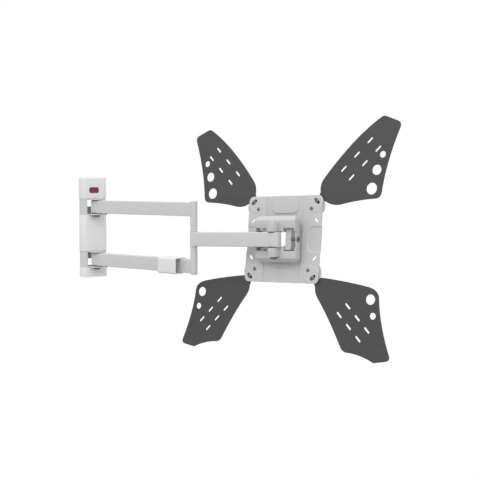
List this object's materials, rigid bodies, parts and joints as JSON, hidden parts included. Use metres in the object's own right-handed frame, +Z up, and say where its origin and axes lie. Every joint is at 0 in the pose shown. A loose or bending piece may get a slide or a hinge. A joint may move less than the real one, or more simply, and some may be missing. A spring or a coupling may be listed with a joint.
{
  "type": "full motion tv wall mount",
  "caption": "Full-motion television wall mount: covered wall bracket, twin-tube arm, folding forearm, panning and tilting head, levelling plate and swivelling slotted adapters.",
  "frame": {"origin": "middle of the flat back face of the wall plate, midway between the two arm tubes", "axes": "+Z up, +Y into the wall, -Y into the room"},
  "size_m": [0.477, 0.9531, 0.6259],
  "materials": {
    "silver_paint": "satin light silver-grey powder coat",
    "plate_silver": "satin silver powder coat on pressed sheet",
    "white_plastic": "fine-textured off-white moulding",
    "clip_plastic": "light grey moulding",
    "dark_steel": "dark zinc-plated steel",
    "charcoal_paint": "matte charcoal powder coat",
    "bright_steel": "bright zinc-plated steel",
    "black_plastic": "black nylon",
    "red_enamel": "dark red, plain, no lettering"
  },
  "bodies": {
    "wall_bracket": {"wall_plate": "silver_paint", "channel_bracket": "silver_paint", "cover_top": "white_plastic", "cover_middle": "white_plastic", "cover_bottom": "white_plastic", "badge_inlay": "red_enamel", "shoulder_upper_bolt": "bright_steel", "shoulder_upper_nut": "dark_steel", "shoulder_lower_bolt": "bright_steel", "shoulder_lower_nut": "dark_steel", "shoulder_upper_washer_top": "black_plastic", "shoulder_upper_washer_bottom": "black_plastic", "shoulder_lower_washer_top": "black_plastic", "shoulder_lower_washer_bottom": "black_plastic"},
    "main_arm": {"upper_tube": "silver_paint", "upper_tube_plug": "black_plastic", "upper_stop_pad": "black_plastic", "lower_tube": "silver_paint", "lower_tube_plug": "black_plastic", "lower_stop_pad": "black_plastic", "elbow_barrel_upper": "silver_paint", "elbow_barrel_lower": "silver_paint", "elbow_pin": "bright_steel", "elbow_cap_top": "black_plastic", "elbow_cap_bottom": "black_plastic", "elbow_bush_upper": "silver_paint", "elbow_bush_lower": "silver_paint"},
    "cable_clip": {"cable_clip": "clip_plastic"},
    "forearm": {"forearm_collar": "silver_paint", "forearm_tube": "silver_paint", "forearm_plug": "clip_plastic", "forearm_pad_top": "black_plastic", "forearm_pad_bottom": "black_plastic"},
    "head": {"head_yoke": "plate_silver", "pan_bolt": "bright_steel", "pan_nut": "dark_steel", "pan_washer_top": "black_plastic", "pan_washer_bottom": "black_plastic", "tilt_bolt_right": "bright_steel", "tilt_bolt_left": "bright_steel"},
    "tilt_carrier": {"tilt_carrier": "plate_silver"},
    "screen_plate": {"screen_plate": "plate_silver", "level_ring": "bright_steel", "swivel_disc_top_right": "plate_silver", "swivel_disc_top_left": "plate_silver", "swivel_disc_bottom_right": "plate_silver", "swivel_disc_bottom_left": "plate_silver", "swivel_rivet_top_right": "dark_steel", "swivel_rivet_top_left": "dark_steel", "swivel_rivet_bottom_right": "dark_steel", "swivel_rivet_bottom_left": "dark_steel"},
    "adapter_top_right": {"adapter_top_right": "charcoal_paint", "corner_bolt_top_right": "bright_steel"},
    "adapter_top_left": {"adapter_top_left": "charcoal_paint", "corner_bolt_top_left": "bright_steel"},
    "adapter_bottom_right": {"adapter_bottom_right": "charcoal_paint", "corner_bolt_bottom_right": "bright_steel"},
    "adapter_bottom_left": {"adapter_bottom_left": "charcoal_paint", "corner_bolt_bottom_left": "bright_steel"}
  },
  "joints": [
    {"name": "shoulder_swing", "type": "hinge", "parent": "wall_bracket", "child": "main_arm", "pos_m": [0, -0.043, 0], "axis": [0, 0, 1], "range_deg": [-111, 69]},
    {"name": "elbow_fold", "type": "hinge", "parent": "main_arm", "child": "forearm", "pos_m": [0.1351, -0.39496, 0], "axis": [0, 0, -1], "range_deg": [-65, 165]},
    {"name": "head_pan", "type": "hinge", "parent": "forearm", "child": "head", "pos_m": [0.23037, -0.64314, 0.00578], "axis": [-0.0125, 0.0326, 0.9994], "range_deg": [-180, 0]},
    {"name": "head_tilt", "type": "hinge", "parent": "head", "child": "tilt_carrier", "pos_m": [0.24858, -0.63615, 0.00578], "axis": [-0.3582, 0.933, -0.0349], "range_deg": [-14, 6]},
    {"name": "screen_level", "type": "hinge", "parent": "tilt_carrier", "child": "screen_plate", "pos_m": [0.27347, -0.62664, 0.0046], "axis": [0.924, 0.3489, -0.1563], "range_deg": [-3, 3]},
    {"name": "clip_slide", "type": "slide", "parent": "main_arm", "child": "cable_clip", "axis": [0.3584, -0.9336, 0], "range_m": [-0.18, 0.02]},
    {"name": "adapter_swivel_top_right", "type": "hinge", "parent": "screen_plate", "child": "adapter_top_right", "pos_m": [0.25396, -0.5407, 0.08111], "axis": [0.924, 0.3489, -0.1563], "range_deg": [-12, 12]},
    {"name": "adapter_swivel_top_left", "type": "hinge", "parent": "screen_plate", "child": "adapter_top_left", "pos_m": [0.31449, -0.69838, 0.08701], "axis": [0.924, 0.3489, -0.1563], "range_deg": [-12, 12]},
    {"name": "adapter_swivel_bottom_right", "type": "hinge", "parent": "screen_plate", "child": "adapter_bottom_right", "pos_m": [0.23244, -0.55491, -0.07781], "axis": [0.924, 0.3489, -0.1563], "range_deg": [-12, 12]},
    {"name": "adapter_swivel_bottom_left", "type": "hinge", "parent": "screen_plate", "child": "adapter_bottom_left", "pos_m": [0.29297, -0.71259, -0.07191], "axis": [0.924, 0.3489, -0.1563], "range_deg": [-12, 12]}
  ]
}
